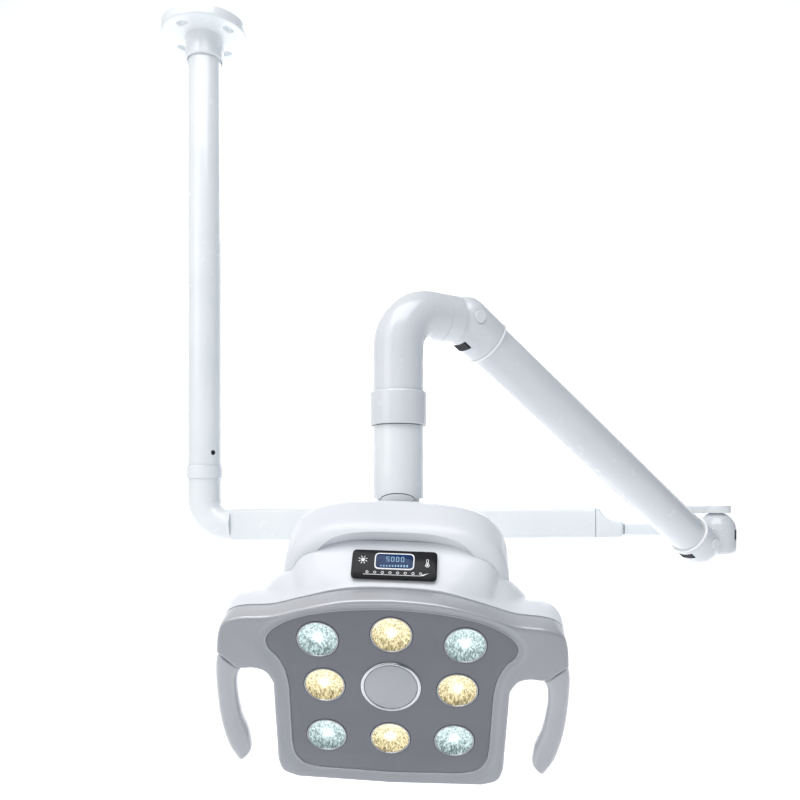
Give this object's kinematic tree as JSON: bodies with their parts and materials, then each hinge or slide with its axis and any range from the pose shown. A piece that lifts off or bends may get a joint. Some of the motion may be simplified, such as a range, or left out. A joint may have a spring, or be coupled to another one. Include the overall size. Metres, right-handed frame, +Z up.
{
  "type": "dental operating light",
  "caption": "Ceiling-hung dental operating light: drop tube, beam, balanced spring arm, swivelling neck and a tilting lamp head with two grips.",
  "frame": {"origin": "centre of the ceiling plate's upper face, on the drop tube's axis", "axes": "+Z up towards the ceiling, +X towards the right as the lamp head is seen from the front, -Y towards the side that the lamp head's light faces"},
  "size_m": [0.702, 0.4899, 0.8633],
  "materials": {
    "white_paint": "gloss",
    "white_plastic": "gloss",
    "grey_plastic": "satin",
    "plate_grey": "satin",
    "stop_rubber": "matte",
    "steel": "brushed",
    "bush_bronze": "machined",
    "panel_black": "gloss",
    "display_glass": "polished",
    "board_green": "satin",
    "aluminium": "satin",
    "disc_grey": "satin",
    "ring_chrome": "polished",
    "lens_cool": "faceted",
    "lens_warm": "faceted"
  },
  "bodies": {
    "support": {"ceiling_plate": "white_paint", "drop_tube": "white_paint", "set_screw_1": "steel", "set_screw_2": "steel", "set_screw_3": "steel", "tube_collar": "white_paint", "support_elbow": "white_paint", "support_beam": "white_paint", "beam_end_cap": "white_paint", "swing_bracket": "white_paint", "swing_spindle": "steel", "spindle_nut": "steel"},
    "base": {"base_knuckle": "white_paint", "base_stop_rubber": "stop_rubber", "rod_pin_lower": "steel"},
    "spring_arm": {"arm_tube": "white_paint", "lower_sleeve": "white_paint", "upper_sleeve": "white_paint", "lower_trim_ring": "white_paint", "upper_trim_ring": "white_paint", "lower_hinge_pin": "steel", "upper_hinge_pin": "steel", "lower_stop_rubber": "stop_rubber", "upper_stop_rubber": "stop_rubber", "balance_spring": "steel", "spring_seat": "steel", "spring_anchor": "steel"},
    "levelling_rod": {"levelling_rod": "steel"},
    "gooseneck": {"gooseneck": "white_paint", "swivel_collar": "white_paint", "upper_bush": "bush_bronze", "lower_bush": "bush_bronze", "rod_pin_upper": "steel"},
    "neck": {"neck_tube": "white_paint", "neck_spindle": "steel"},
    "head": {"front_frame": "grey_plastic", "lens_plate": "plate_grey", "handle_left": "grey_plastic", "handle_right": "grey_plastic", "lens_1": "lens_cool", "lens_2": "lens_warm", "lens_3": "lens_cool", "lens_4": "lens_warm", "lens_5": "lens_warm", "lens_6": "lens_cool", "lens_7": "lens_warm", "lens_8": "lens_cool", "centre_ring": "ring_chrome", "centre_disc": "disc_grey", "rear_shell": "white_plastic", "hood_cover": "white_plastic", "tilt_bracket": "steel", "tilt_pin": "steel", "control_panel": "panel_black", "display_window": "display_glass", "control_board": "board_green", "led_board": "board_green", "heat_sink": "aluminium"}
  },
  "joints": [
    {"name": "arm_swing", "type": "hinge", "parent": "support", "child": "base", "pos_m": [0.62499, -0.09977, -0.65], "axis": [0, 0, 1], "range_deg": [-5, 270]},
    {"name": "arm_lift", "type": "hinge", "parent": "base", "child": "spring_arm", "pos_m": [0.59657, -0.11844, -0.6628], "axis": [-0.549, 0.8358, 0], "range_deg": [-60, 12.5]},
    {"name": "rod_level", "type": "hinge", "parent": "base", "child": "levelling_rod", "pos_m": [0.59657, -0.11844, -0.6733], "axis": [-0.549, 0.8358, 0], "range_deg": [-60.5, 13]},
    {"name": "gooseneck_level", "type": "hinge", "parent": "spring_arm", "child": "gooseneck", "pos_m": [0.3132, -0.30457, -0.45054], "axis": [-0.549, 0.8358, 0], "range_deg": [-13, 60.5]},
    {"name": "neck_swivel", "type": "hinge", "parent": "gooseneck", "child": "neck", "pos_m": [0.25219, -0.34465, -0.56], "axis": [0, 0, 1], "range_deg": [-165, 165]},
    {"name": "head_tilt", "type": "hinge", "parent": "neck", "child": "head", "pos_m": [0.25219, -0.34465, -0.655], "axis": [0.9985, -0.0425, -0.0345], "range_deg": [-5, 62]}
  ],
  "couplings": [
    {"joint": "rod_level", "follows": "arm_lift", "ratio": 1},
    {"joint": "gooseneck_level", "follows": "arm_lift", "ratio": -1}
  ]
}
